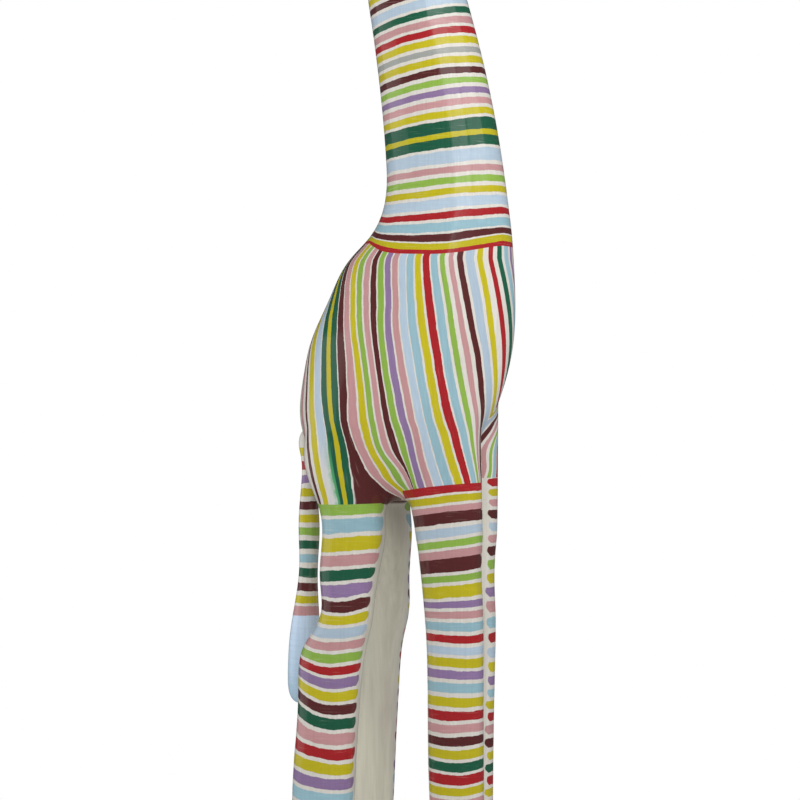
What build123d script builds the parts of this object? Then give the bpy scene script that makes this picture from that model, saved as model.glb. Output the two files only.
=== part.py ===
from build123d import *
import math
import os

# A standing giraffe carved from one upright log, in millimetres.
# +X is forward, +Y is the animal's left, +Z is up, and the soles stand on Z = 0.
# The origin is on the floor, at the centre of the log.

# Each horizontal section of the trunk and neck:
# height, centre X, half length along X, half width along Y, squareness (2 is an ellipse).
TRUNK_SECTIONS = [
    (704, -14, 46, 38, 2.2),
    (722, -14, 76, 62, 2.3),
    (755, -11, 99, 82, 2.3),
    (806, -5, 125, 98, 2.1),
    (858, 7, 134, 101, 2.0),
    (909, 18, 133, 99, 2.0),
    (960, 31, 122, 94, 2.0),
    (1011, 44, 107, 84, 2.0),
    (1040, 57, 92, 76, 2.0),
    (1066, 63, 83, 71, 2.0),
    (1139, 61, 75, 63, 2.0),
    (1242, 46, 70, 60, 2.0),
    (1344, 25, 64, 57, 2.0),
    (1460, -2, 57, 50, 2.0),
    (1570, -20, 50, 45, 2.0),
    (1650, -22, 45, 41, 2.0),
    (1700, -20, 40, 37, 2.0),
    (1732, -19, 30, 29, 2.0),
    (1746, -18, 16, 16, 2.0),
]

# Each horizontal section of a leg: height, centre X, half length along X,
# half thickness along Y, and the leg's distance out from the middle of the animal.
FRONT_LEG_SECTIONS = [
    (900, 62, 34, 28, 36),
    (850, 66, 50, 38, 42),
    (800, 67, 53, 36, 41),
    (750, 70, 51, 33, 38),
    (704, 75, 47, 30, 35.5),
    (650, 79, 41, 28, 33),
    (576, 83, 37, 26, 31),
    (474, 86, 35, 25, 30),
    (320, 87, 34, 24, 28),
    (200, 88, 30, 22, 28),
    (100, 88, 26, 20, 28),
    (55, 90, 26, 20.5, 28.5),
    (0, 94, 33, 25, 30),
]
HIND_LEG_SECTIONS = [
    (850, -48, 32, 28, 36),
    (800, -57, 46, 38, 44),
    (755, -59, 51, 40, 48),
    (717, -52, 45, 37, 50),
    (690, -45, 41, 34, 51),
    (650, -43, 39, 31, 54),
    (590, -45, 34, 28.5, 65),
    (525, -59, 39, 27.5, 71),
    (474, -67, 40, 27.5, 73),
    (400, -71, 39, 27, 75),
    (320, -75, 39, 26.5, 76),
    (200, -78, 32, 24, 77),
    (100, -79, 26, 21, 77),
    (55, -78, 26, 21, 77),
    (0, -74, 33, 26, 78),
]
LEG_TOP = 704
LEFT_FRONT_LEG_LEAN = 8
LEG_OUTER_SQUARENESS = 2.3
LEG_INNER_SQUARENESS = 4.0

# The head is carved along its own line, which dips forward from the top of the neck.
SKULL_CENTRE = (-10, 0, 1716)
HEAD_DIP = 28
# Each section across the head: distance along its line, rise above the line,
# half height, half width.
HEAD_SECTIONS = [
    (-52, 2, 20, 18),
    (-34, 3, 42, 36),
    (0, 0, 50, 44),
    (40, -3, 43, 38),
    (80, -4, 33, 29),
    (112, -4, 30, 26),
    (134, -5, 28, 25),
    (150, -6, 16, 15),
]
EYE_ALONG = 34
EYE_RISE = 12
EYE_OUT = 29
EYE_RADIUS = 13
NOSTRIL_ALONG = 140
NOSTRIL_RISE = 8
NOSTRIL_OUT = 16
NOSTRIL_RADIUS = 4
MOUTH_START = 84
MOUTH_RISE = -15
MOUTH_WIDTH = 2.4
MOUTH_DEPTH = 3

# Horns and ears are turned and carved apart, and glued into drilled sockets.
HORN_BASE = (-14, 20, 1754)
HORN_LEAN_BACK = 12
HORN_LEAN_OUT = 10
HORN_LENGTH = 68
HORN_BASE_RADIUS = 9
HORN_TOP_RADIUS = 7
HORN_KNOB_RADIUS = 11
EAR_BASE = (-36, 37, 1740)
EAR_SWEEP_BACK = 25
EAR_RISE = 24
# Each section across an ear: distance from its base, half width, half thickness.
EAR_SECTIONS = [
    (0, 5, 5),
    (14, 8, 5.5),
    (36, 18, 6.5),
    (58, 16, 6),
    (78, 8, 4),
    (88, 2.5, 2),
]
EAR_SCOOP_RADIUS = 70
EAR_SCOOP_DEPTH = 4
EAR_TENON_RADIUS = 5
TENON_LENGTH = 20
SOCKET_MOUTH = 20
GLUE_GAP = 0.1

# The tail hangs behind the rump, on a dowel, against a flat seat.
# Each horizontal section of the tail: height, centre X, half length, half width.
TAIL_SECTIONS = [
    (792, -126, 8, 8),
    (770, -125.5, 12, 12),
    (700, -124.5, 12, 12.5),
    (630, -124.5, 12.5, 13),
    (570, -127.5, 15.5, 15),
    (500, -131, 21, 20),
    (462, -131.5, 21, 19.5),
    (444, -131, 16.5, 15),
    (438, -130, 8, 7),
]
TAIL_SEAT_POINT = (-119, 0, 768)
TAIL_SEAT_SLOPE = 19
TAIL_SEAT_WIDTH = 40
TAIL_SEAT_HEIGHT = 60
DOWEL_RADIUS = 4
DOWEL_IN_BODY = 30
DOWEL_IN_TAIL = 14

SECTION_POINTS = 16


def signed_power(value, exponent):
    """A power that keeps the sign of its base."""
    return math.copysign(abs(value) ** exponent, value)


def rounded_outline(half_length, half_width, squareness, other_squareness):
    """A closed smooth outline, which may be squarer on its -Y half than on its +Y half."""
    points = []
    for index in range(SECTION_POINTS):
        angle = 2 * math.pi * index / SECTION_POINTS
        power = squareness if math.sin(angle) > 0 else other_squareness
        along = half_length * signed_power(math.cos(angle), 2 / power)
        across = half_width * signed_power(math.sin(angle), 2 / power)
        points.append((along, across))
    return make_face(Spline(points, periodic=True))


def trunk_and_neck():
    """The belly, chest, rump and neck as one smooth column."""
    faces = []
    for height, centre, half_length, half_width, squareness in TRUNK_SECTIONS:
        outline = rounded_outline(half_length, half_width, squareness, squareness)
        faces.append(Pos(centre, 0, height) * outline)
    return loft(faces)


def leg(sections, lean=0):
    """A left leg, rounded outside and flatter inside, whose foot stands back by the lean."""
    faces = []
    for height, centre, half_length, half_width, distance in sections:
        centre -= lean * max(0, 1 - height / LEG_TOP)
        outline = rounded_outline(
            half_length, half_width, LEG_OUTER_SQUARENESS, LEG_INNER_SQUARENESS
        )
        faces.append(Pos(centre, distance, height) * outline)
    return loft(faces)


def head_frame():
    """Local frame of the head: X runs to the animal's left, Y up, Z out along the nose."""
    dip = math.radians(HEAD_DIP)
    forward = (math.cos(dip), 0, -math.sin(dip))
    return Plane(origin=SKULL_CENTRE, x_dir=(0, 1, 0), z_dir=forward)


def head_solid(inset):
    """The head from the back of the skull to the muzzle, shrunk all round by the inset."""
    frame = head_frame()
    faces = []
    for along, rise, half_height, half_width in HEAD_SECTIONS:
        section = Ellipse(half_width - inset, half_height - inset)
        faces.append(frame * Pos(0, rise, along) * section)
    return loft(faces)


def mouth_groove():
    """A thin cut that runs round the muzzle between the lips."""
    frame = head_frame()
    reach = 200
    slab = Box(reach, MOUTH_WIDTH, reach)
    slab = frame * Pos(0, MOUTH_RISE, MOUTH_START + reach / 2) * slab
    return slab - head_solid(MOUTH_DEPTH)


def carved_head():
    """The head with its eyes, nostrils and mouth."""
    frame = head_frame()
    head = head_solid(0)
    for side in (-1, 1):
        head += frame * Pos(side * EYE_OUT, EYE_RISE, EYE_ALONG) * Sphere(EYE_RADIUS)
        pit = Sphere(NOSTRIL_RADIUS)
        head -= frame * Pos(side * NOSTRIL_OUT, NOSTRIL_RISE, NOSTRIL_ALONG) * pit
    return head - mouth_groove()


def horn_frame(side):
    """Local frame of a horn: Z runs out along the horn."""
    x, y, z = HORN_BASE
    turn = Rot(0, -HORN_LEAN_BACK, 0) * Rot(-side * HORN_LEAN_OUT, 0, 0)
    return Pos(x, side * y, z) * turn


def ear_frame(side):
    """Local frame of an ear: Z runs out to its tip, and Y faces back."""
    x, y, z = EAR_BASE
    rise = math.radians(EAR_RISE)
    sweep = math.radians(EAR_SWEEP_BACK)
    outward = (
        -math.cos(rise) * math.sin(sweep),
        side * math.cos(rise) * math.cos(sweep),
        math.sin(rise),
    )
    across = (0, -side * math.sin(rise), math.cos(rise) * math.cos(sweep))
    return Plane(origin=(x, side * y, z), x_dir=across, z_dir=outward)


def tenon(radius):
    """The round tenon of a horn or an ear."""
    return Pos(0, 0, -TENON_LENGTH / 2) * Cylinder(radius, TENON_LENGTH)


def socket(radius):
    """The drilled hole for a tenon, cut on outward through the curved surface."""
    depth = TENON_LENGTH + SOCKET_MOUTH
    middle = (SOCKET_MOUTH - TENON_LENGTH) / 2
    return Pos(0, 0, middle) * Cylinder(radius + GLUE_GAP, depth)


def horn(side):
    """A short round horn that narrows and then swells to a knob, on its tenon."""
    stem = Cone(HORN_BASE_RADIUS, HORN_TOP_RADIUS, HORN_LENGTH)
    knob = Pos(0, 0, HORN_LENGTH) * Sphere(HORN_KNOB_RADIUS)
    body = tenon(HORN_BASE_RADIUS) + Pos(0, 0, HORN_LENGTH / 2) * stem + knob
    return horn_frame(side) * body


def ear(side):
    """A leaf-shaped ear, hollowed on its front, on its tenon."""
    faces = []
    for along, half_width, half_thickness in EAR_SECTIONS:
        faces.append(Pos(0, 0, along) * Ellipse(half_width, half_thickness))
    widest_along, _, widest_thickness = EAR_SECTIONS[2]
    scoop_centre = EAR_SCOOP_RADIUS + widest_thickness - EAR_SCOOP_DEPTH
    scoop = Pos(0, -side * scoop_centre, widest_along) * Sphere(EAR_SCOOP_RADIUS)
    return ear_frame(side) * (tenon(EAR_TENON_RADIUS) + (loft(faces) - scoop))


def tail_seat():
    """Local frame of the tail's seat: Z points out of the rump."""
    slope = math.radians(TAIL_SEAT_SLOPE)
    outward = (-math.cos(slope), 0, -math.sin(slope))
    return Plane(origin=TAIL_SEAT_POINT, x_dir=(0, 1, 0), z_dir=outward)


def tail_dowel(radius):
    """The dowel across the seat, from the rump into the tail."""
    length = DOWEL_IN_BODY + DOWEL_IN_TAIL
    middle = (DOWEL_IN_TAIL - DOWEL_IN_BODY) / 2
    return tail_seat() * Pos(0, 0, middle) * Cylinder(radius, length)


def tail():
    """The hanging tail, with a round tuft, flat where it meets the rump."""
    faces = []
    for height, centre, half_length, half_width in TAIL_SECTIONS:
        faces.append(Pos(centre, 0, height) * Ellipse(half_length, half_width))
    reach = 2 * TAIL_SEAT_HEIGHT
    rump_side = tail_seat() * Pos(0, 0, -reach / 2) * Box(reach, reach, reach)
    return loft(faces) - rump_side - tail_dowel(DOWEL_RADIUS + GLUE_GAP)


def carved_body():
    """The trunk, neck, head and four legs, all cut from the one log, with its sockets."""
    hind_leg = leg(HIND_LEG_SECTIONS)
    body = trunk_and_neck() + carved_head()
    body += leg(FRONT_LEG_SECTIONS, LEFT_FRONT_LEG_LEAN)
    body += mirror(leg(FRONT_LEG_SECTIONS), Plane.XZ)
    body += hind_leg
    body += mirror(hind_leg, Plane.XZ)
    for side in (-1, 1):
        body -= horn_frame(side) * socket(HORN_BASE_RADIUS)
        body -= ear_frame(side) * socket(EAR_TENON_RADIUS)
    seat_cut = Box(TAIL_SEAT_WIDTH, TAIL_SEAT_HEIGHT, TAIL_SEAT_HEIGHT)
    body -= tail_seat() * Pos(0, 0, TAIL_SEAT_HEIGHT / 2) * seat_cut
    return body - tail_dowel(DOWEL_RADIUS + GLUE_GAP)


PARTS = {
    "carved_body": carved_body(),
    "tail": tail(),
    "tail_dowel": tail_dowel(DOWEL_RADIUS),
    "left_ear": ear(1),
    "right_ear": ear(-1),
    "left_horn": horn(1),
    "right_horn": horn(-1),
}

os.makedirs("parts", exist_ok=True)
for name, shape in PARTS.items():
    export_step(shape, f"parts/{name}.step")
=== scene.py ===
import math
import bmesh
import bpy
import numpy as np
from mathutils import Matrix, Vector


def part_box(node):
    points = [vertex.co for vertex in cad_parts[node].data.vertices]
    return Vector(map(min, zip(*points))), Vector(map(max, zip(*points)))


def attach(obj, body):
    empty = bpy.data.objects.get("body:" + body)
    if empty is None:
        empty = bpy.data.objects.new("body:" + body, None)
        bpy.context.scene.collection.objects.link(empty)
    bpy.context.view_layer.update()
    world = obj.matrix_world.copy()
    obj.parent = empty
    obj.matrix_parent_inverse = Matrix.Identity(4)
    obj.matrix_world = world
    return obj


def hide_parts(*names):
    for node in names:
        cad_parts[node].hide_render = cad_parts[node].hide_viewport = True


# The looks of a carved and hand-painted giraffe. Lengths are in metres unless a name says mm.
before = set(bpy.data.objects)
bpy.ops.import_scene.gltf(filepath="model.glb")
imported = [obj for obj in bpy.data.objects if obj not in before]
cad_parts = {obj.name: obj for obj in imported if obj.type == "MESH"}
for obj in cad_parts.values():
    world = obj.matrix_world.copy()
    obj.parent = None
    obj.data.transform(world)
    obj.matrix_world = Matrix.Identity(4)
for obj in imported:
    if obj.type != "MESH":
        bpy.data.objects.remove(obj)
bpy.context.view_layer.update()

# ---------------------------------------------------------------- sizes and places
FINE_VOXEL = 0.0033
SMALL_VOXEL = 0.0012
TAIL_VOXEL = 0.002
LEG_TOP = 0.704
TRUNK_SECTIONS = np.arange(0.806, 1.07, 0.01)
NECK_SECTIONS = np.arange(1.07, 1.57, 0.02)
LEG_SECTIONS = np.arange(0.02, 0.70, 0.02)
SECTION_BAND = 0.006
# How far above the leg's top its paint is looked for, and how far ahead of the middle the front
# legs' paint starts there, and how far behind it the hind legs'.
LEG_REACH = 0.10
FRONT_LEG_FROM = 0.024
HIND_LEG_FROM = 0.004
# Painted shadow in the arched underside over the hind legs' inner faces, and how far back it reaches.
ARCH_LOW = 0.705
ARCH_HIGH = 0.722
ARCH_BACK = -0.085
# Faces that look down are washed over below this height.
WASH_TOP = 0.672
# How much sooner each leg's bands end on the way to its inner face, as a share of half its
# thickness, by hind or not and by side.
BRUSH_SHIFT = {(False, -1): 0.13, (False, 1): -0.06, (True, -1): 0.0, (True, 1): 0.2}
# Between these heights the folds where legs meet the trunk are softened.
CREASE_LOW = 0.66
CREASE_HIGH = 0.90
CREASE_FULL_BELOW = 0.84
CREASE_PASSES = 34

# The head's own line starts in the middle of the skull, below a horn's foot.
HORN_LOW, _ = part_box("left_horn")
SKULL = Vector((HORN_LOW.x + 0.029, 0, HORN_LOW.z - 0.016))
HEAD_DIP = math.radians(28)
HEAD_FORWARD = Vector((math.cos(HEAD_DIP), 0, -math.sin(HEAD_DIP)))
HEAD_UP = Vector((math.sin(HEAD_DIP), 0, math.cos(HEAD_DIP)))
# The head's features, as distances along its line, above it and aside.
EYE = (0.034, 0.012, 0.042)
EYE_RINGS = ((0.0155, "primer"), (0.0125, "black"), (0.0108, "primer"), (0.0078, "black"))
NOSTRIL = (0.142, 0.009, 0.017)
NOSTRIL_RADIUS = 0.0056
BACK_OF_HEAD = 0.052
MOUTH_START = 0.078
MOUTH_RISE = -0.015
LIP_HALF_HEIGHT = 0.0022
JAW_POINT = Vector((0.034, 0, 1.666))
JAW_NORMAL = Vector((0.44, 0, 0.90)).normalized()

# ---------------------------------------------------------------- paint colours, as sRGB
PAINT = {
    "primer": (0.865, 0.85, 0.82),
    "red": (0.665, 0.05, 0.095),
    "maroon": (0.35, 0.115, 0.12),
    "green": (0.04, 0.355, 0.25),
    "lime": (0.55, 0.70, 0.27),
    "yellow": (0.76, 0.71, 0.0),
    "pink": (0.765, 0.565, 0.57),
    "pale": (0.69, 0.765, 0.83),
    "sky": (0.585, 0.735, 0.785),
    "purple": (0.555, 0.45, 0.62),
    "grey": (0.63, 0.64, 0.62),
    "inner": (0.97, 0.955, 0.88),
    "black": (0.045, 0.035, 0.035),
    "tuft": (0.785, 0.865, 0.955),
    # Painted shadow for the arched underside over the hind legs.
    "arch_shadow": (0.36, 0.19, 0.18),
    "smear": (0.30, 0.66, 0.42),
}

# The most colours that one ramp node can hold.
RAMP_STEPS = 32
# Painted shade: the legs' colours are darkened, for the lower light that falls on them.
LEG_PAINTED_SHADE = 0.89
# Tones that are not paint, as linear RGBA.
WORN_PRIMER = (0.60, 0.56, 0.49, 1)
GRAINY_PRIMER = (0.80, 0.78, 0.73, 1)
WASH_DARK = (0.63, 0.62, 0.53, 1)
# Pinkish patches on the inner wash: painted reflection of the coloured bands nearby.
REFLECTED_PINK_TONE = (0.56, 0.50, 0.47, 1)
END_DULL = (0.58, 0.71, 0.72, 1)
DARK_WOOD = (0.36, 0.20, 0.10, 1)
LIGHT_WOOD = (0.62, 0.42, 0.24, 1)
# How much darker and lighter the brush streaks make the paint.
STREAK_SHADE = (0.86, 1.10)
# How far a band's edges wander, as shares of its width: slowly, and in small steps.
SLOW_DRIFT = 0.22
FAST_DRIFT = 0.15
EDGE_SOFTNESS = 0.022
# Flank stripes within TIGHT_REACH of the middle one have at most THIN_GAP of primer at each side.
# Edges are steadier on stripes wider than STEADY_WIDTH.
MIDDLE_STRIPE = 22.5
TIGHT_REACH = 8.5
THIN_GAP = 0.0014
STEADY_WIDTH = 0.010
# Where the leg bands end and where the wash begins, on the way round to the inner face: from 0
# halfway to 1 at the inner face, for front and hind legs.
BAND_END = (0.66, 0.20)
WASH_START = (0.80, 0.32)
# How much shorter a band ends at its edges and at its lower corner, and how much bands differ.
END_ROUNDING = 0.14
LOWER_CORNER = 0.20
END_SPREAD = 0.07
# The green smear on the haunch stays below this height.
SMEAR_TOP = 0.765
# The relief's depth, and its parts as multiples of that.
RELIEF_DEPTH = 0.0006
PAINT_RELIEF = 0.30
STREAK_RELIEF = 0.14
GRAIN_RELIEF = 0.5
RIB_RELIEF = 1.3
SWELL_RELIEF = 2.6

# Painted bands, as colour, width in mm and the share of it that is painted, where that is
# not the usual share. The neck's go up from the red ring at its base.
USUAL_SHARE = 0.62
NECK_BASE = 1.027
NECK_BANDS = (
    ("red", 5, 0.94), ("yellow", 7, 0.8), ("maroon", 8.5, 0.8), ("sky", 11.5, 0.78),
    ("red", 13, 0.63), ("pale", 14, 0.8), ("yellow", 12, 0.62), ("lime", 13, 0.6),
    ("pink", 12.5, 0.62), ("pale", 19, 0.78), ("green", 13, 0.78), ("yellow", 7.5, 0.85),
    ("green", 16, 0.8), ("yellow", 13, 0.66), ("pink", 13.5, 0.6), ("purple", 13, 0.6),
    ("lime", 12.5, 0.6), ("maroon", 13.5, 0.62), ("yellow", 12.5, 0.68), ("grey", 11.5, 0.6),
    ("yellow", 12.5, 0.68), ("red", 11.5, 0.72), ("pink", 12.5, 0.66), ("green", 12, 0.68),
    ("pale", 14.5, 0.75), ("maroon", 12), ("yellow", 12), ("lime", 13), ("purple", 12),
    ("pink", 13), ("red", 12), ("yellow", 13), ("green", 14), ("pale", 14), ("pink", 12),
    ("maroon", 13), ("lime", 12), ("yellow", 13), ("sky", 14), ("purple", 12), ("red", 12),
    ("yellow", 13), ("pink", 12), ("green", 14), ("pale", 14), ("maroon", 12), ("yellow", 12),
    ("lime", 12), ("pink", 12), ("purple", 12), ("red", 12), ("sky", 13), ("yellow", 12),
    ("green", 12), ("pink", 12), ("pale", 12), ("maroon", 12), ("lime", 12), ("yellow", 30),
)
# The legs' go down from the leg's top, to a plain hoof.
FRONT_LEG_TOP = 0.723
FRONT_BANDS = (
    ("red", 11, 0.84), ("yellow", 12.5, 0.7), ("pink", 11, 0.7), ("maroon", 15, 0.66),
    ("pale", 16, 0.68), ("lime", 12.5, 0.7), ("pink", 13.5, 0.74), ("maroon", 17, 0.82),
    ("lime", 13, 0.62), ("yellow", 19, 0.78), ("purple", 12.5, 0.66), ("pink", 13, 0.66),
    ("sky", 15.5, 0.7), ("red", 15, 0.64), ("pale", 14.5, 0.68), ("yellow", 15, 0.76),
    ("purple", 15.5, 0.7), ("sky", 18, 0.68), ("yellow", 17, 0.68), ("red", 16, 0.7),
    ("pink", 15.5, 0.68), ("maroon", 16, 0.68), ("yellow", 15.5, 0.74), ("green", 15, 0.76),
    ("red", 16, 0.78), ("yellow", 13.5, 0.76), ("pink", 16), ("lime", 15), ("maroon", 16),
    ("sky", 15), ("yellow", 16), ("purple", 15), ("red", 16), ("pale", 15), ("green", 16),
    ("pink", 15), ("yellow", 16), ("maroon", 15), ("lime", 15), ("sky", 15), ("red", 15),
    ("yellow", 15), ("purple", 14), ("pink", 14), ("maroon", 14), ("sky", 80, 0.97),
)
LEFT_FRONT_LEG_TOP = 0.728
LEFT_FRONT_BANDS = (
    ("red", 12.5, 0.8), ("yellow", 13.5, 0.7), ("pink", 13, 0.7), ("maroon", 16, 0.7),
    ("pale", 16.5, 0.7), ("pink", 14.5, 0.7), ("maroon", 15.5, 0.76), ("lime", 17.5, 0.7),
    ("yellow", 16.5, 0.7), ("purple", 15.5, 0.7), ("pink", 18.5, 0.7), ("sky", 19.5, 0.7),
    ("red", 18, 0.7), ("pale", 18.5, 0.7), ("yellow", 18.5, 0.7), ("purple", 17.5, 0.7),
    ("sky", 15.5, 0.7), ("yellow", 15.5, 0.7), ("red", 15.5, 0.7), ("pink", 16, 0.7),
    ("maroon", 17, 0.7), ("yellow", 15.5, 0.7), ("green", 15.5, 0.7), ("red", 17, 0.7),
) + FRONT_BANDS[25:]
HIND_LEG_TOP = 0.700
HIND_BANDS = (
    ("lime", 15.5, 0.76), ("sky", 23, 0.76), ("yellow", 22.5, 0.78), ("pink", 18.5, 0.76),
    ("green", 17.5, 0.74), ("purple", 18, 0.76), ("maroon", 17, 0.76), ("yellow", 15, 0.74),
    ("pale", 16, 0.76), ("pink", 15, 0.68), ("lime", 14.5, 0.7), ("red", 12.5, 0.72),
    ("purple", 15, 0.76), ("yellow", 15.5, 0.76), ("maroon", 17, 0.72), ("green", 20.5, 0.74),
    ("pink", 22, 0.72), ("red", 19.5, 0.72), ("yellow", 19.5, 0.74), ("purple", 19, 0.74),
    ("sky", 19.5, 0.76), ("maroon", 18), ("lime", 18), ("yellow", 18), ("pink", 18),
    ("green", 18), ("red", 17), ("pale", 18), ("purple", 17), ("yellow", 18), ("maroon", 17),
    ("pink", 17), ("lime", 17), ("yellow", 17), ("red", 16), ("sky", 80, 0.97),
)
TAIL_TOP = 0.774
TAIL_BANDS = (
    ("yellow", 18), ("red", 17.5), ("purple", 17.5), ("yellow", 17), ("maroon", 17),
    ("yellow", 17), ("lime", 17), ("green", 17), ("sky", 18), ("green", 20), ("maroon", 17),
    ("yellow", 15.5), ("pink", 13.5, 0.9), ("tuft", 140, 0.99),
)
HEAD_BANDS = (
    ("purple", 12), ("yellow", 11), ("pink", 11), ("green", 11), ("pale", 11), ("red", 10),
    ("yellow", 11), ("lime", 11), ("maroon", 11), ("pink", 11), ("sky", 11), ("yellow", 11),
    ("purple", 10), ("red", 10), ("lime", 10), ("yellow", 10), ("maroon", 9), ("sky", 40, 0.95),
)
EAR_BANDS = (
    ("maroon", 16), ("yellow", 10), ("pink", 10), ("green", 10), ("pale", 10), ("red", 10),
    ("lime", 10), ("purple", 10), ("yellow", 20),
)
HORN_BANDS = (
    ("yellow", 34), ("pink", 8), ("green", 8), ("yellow", 8), ("red", 8), ("pale", 9),
    ("lime", 8), ("maroon", 40, 0.95),
)

# Flank stripes, from the middle of the chest round to the middle of the rump.
FLANK_BANDS = (
    ("yellow", 1), ("lime", 1), ("pink", 1), ("purple", 1, 0.6), ("sky", 1, 0.7),
    ("green", 1, 0.6), ("red", 1, 0.46), ("yellow", 1, 0.52), ("pale", 1, 0.84),
    ("maroon", 1, 0.63), ("pink", 1, 0.56), ("lime", 1, 0.57), ("sky", 1, 0.82),
    ("red", 1, 0.8), ("yellow", 1, 0.72), ("sky", 1, 0.86), ("pale", 1, 0.84), ("pink", 1, 0.76),
    ("purple", 1, 0.8), ("lime", 1, 0.8), ("maroon", 1, 0.78), ("pink", 1, 0.76),
    ("lime", 1, 0.72), ("yellow", 1, 0.76), ("pink", 1, 0.84), ("maroon", 1, 0.86),
    ("green", 1, 0.86), ("yellow", 1, 0.78), ("green", 1, 0.86), ("pale", 1, 0.84),
    ("yellow", 1, 0.7), ("maroon", 1, 0.34), ("pink", 1, 0.62), ("lime", 1, 0.6),
    ("sky", 1, 0.62), ("maroon", 1, 0.6),
)
# Each leg's bands and their top, by hind or not and by side.
LEG_BANDS = {
    (False, -1): (FRONT_BANDS, FRONT_LEG_TOP),
    (False, 1): (LEFT_FRONT_BANDS, LEFT_FRONT_LEG_TOP),
    (True, -1): (HIND_BANDS, HIND_LEG_TOP),
    (True, 1): (HIND_BANDS, HIND_LEG_TOP),
}
# Neighbouring bands that touch: from one place among the bands to another, and the colour
# that fills what would be primer.
FLANK_JOINED = ((26.5, 28.5, "green"),)
NECK_JOINED = ((-0.5, 1.0, "red"), (1.0, 1.5, "yellow"), (10.5, 12.5, "green"))
FRONT_JOINED = ((-0.5, 0.5, "red"), (2.5, 3.5, "maroon"), (6.5, 7.5, "maroon"))
HIND_JOINED = ((-0.5, 0.5, "lime"),)
TAIL_JOINED = ((12.5, 13.2, "tuft"),)
# The stripes slant over the chest. By height in metres, this is the angle in degrees by which
# the left side's stripes are turned against the right side's.
CHEST_TURN = ((0.740, -14), (0.780, -14), (0.803, 0), (0.875, 32), (1.0, 32))
# Guide lines that the stripes follow: the place among the stripes, then the line's points as
# heights in mm and angles in degrees round the trunk from the middle of the chest.
FLANK_GUIDES = (
    (0.5, (1007, -28), (954, -40), (880, -60), (806, -99)),
    (3.5, (1007, 0), (954, -14), (880, -30), (843, -36), (806, -60)),
    (7.5, (1007, 39), (954, 31), (917, 26), (880, 19), (843, 8), (806, -6), (763, -28)),
    (9.5, (1007, 54), (917, 40), (843, 24), (806, 14), (781, 17), (763, 18), (703, 14)),
    (11.5, (1007, 66), (954, 58), (917, 53), (880, 47), (843, 40), (806, 33), (763, 27), (703, 18)),
    (15.5, (1007, 87), (954, 80), (917, 75), (843, 63), (806, 55), (763, 48), (703, 39)),
    (19.5, (1007, 108), (954, 98), (917, 93), (843, 82), (806, 75), (763, 68), (703, 56)),
    (21.5, (1007, 119), (917, 101), (806, 84), (763, 78), (744, 69), (729, 63), (703, 57)),
    (23.5, (1007, 133), (917, 110), (806, 93), (763, 89), (744, 84), (729, 79), (713, 64), (703, 60)),
    (25, (1007, 144), (954, 127), (917, 117), (843, 106), (763, 99), (729, 90), (713, 77), (706, 63)),
    (26, (1007, 151), (954, 133), (917, 123), (880, 117), (843, 112), (806, 109), (703, 104)),
    (29, (1007, 163), (954, 149), (917, 138), (880, 131), (843, 126), (806, 121), (763, 118), (703, 113)),
    (31.5, (1007, 174), (917, 158), (880, 150), (843, 143), (806, 139), (763, 131), (703, 127)),
    (36, (1007, 180), (703, 180)),
)
# How far bands tilt, as the rise lost per unit forward, and how far they sag on the outer
# face, both by height. All in metres.
FRONT_TILT = (
    (0.35, 0.01), (0.44, 0.0), (0.48, 0.04), (0.52, 0.04), (0.58, -0.05), (0.62, -0.12), (0.72, -0.11),
)
FRONT_SAG = ((0.35, 0.004), (0.45, 0.001), (0.60, 0.001), (0.72, -0.001))
HIND_TILT = (
    (0.05, 0.05), (0.33, 0.13), (0.39, 0.17), (0.44, 0.28), (0.50, 0.10), (0.55, 0.0), (0.61, -0.08),
    (0.70, -0.03),
)
HIND_SAG = (
    (0.33, 0.004), (0.39, 0.005), (0.43, 0.009), (0.48, 0.010), (0.51, 0.007), (0.56, 0.005), (0.62, 0.0),
)
# How much sooner still the right hind leg's bands end, by height, as the same share.
HIND_SHORTER = (
    (0.33, 0.02), (0.44, 0.16), (0.52, 0.26), (0.59, 0.36), (0.63, 0.24), (0.67, 0.02), (0.70, 0),
)
NECK_SAG = (
    (1.017, 0.0155), (1.036, 0.011), (1.047, 0.008), (1.063, 0.007), (1.091, 0.004), (1.14, 0.002),
)
# How much lower the rings pass at the very front of the neck, by height.
NECK_FRONT_DROP = ((1.19, 0.0), (1.22, 0.002), (1.255, 0.003), (1.29, 0.0015), (1.32, 0.0))
# The rings' tilt near the neck's base, by height. From SQUARE_FROM up they turn square to its axis.
NECK_TILT = (
    (1.014, 0.034), (1.026, 0.034), (1.036, 0.005), (1.047, -0.009), (1.063, -0.040), (1.091, -0.060),
    (1.118, -0.084),
)
SQUARE_FROM = 1.118


def linear(name, alpha=1.0):
    """A paint colour from the table, as the linear RGBA that shaders take."""
    channels = []
    for value in PAINT[name]:
        if value <= 0.04045:
            channels.append(value / 12.92)
        else:
            channels.append(((value + 0.055) / 1.055) ** 2.4)
    return (*channels, alpha)


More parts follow.
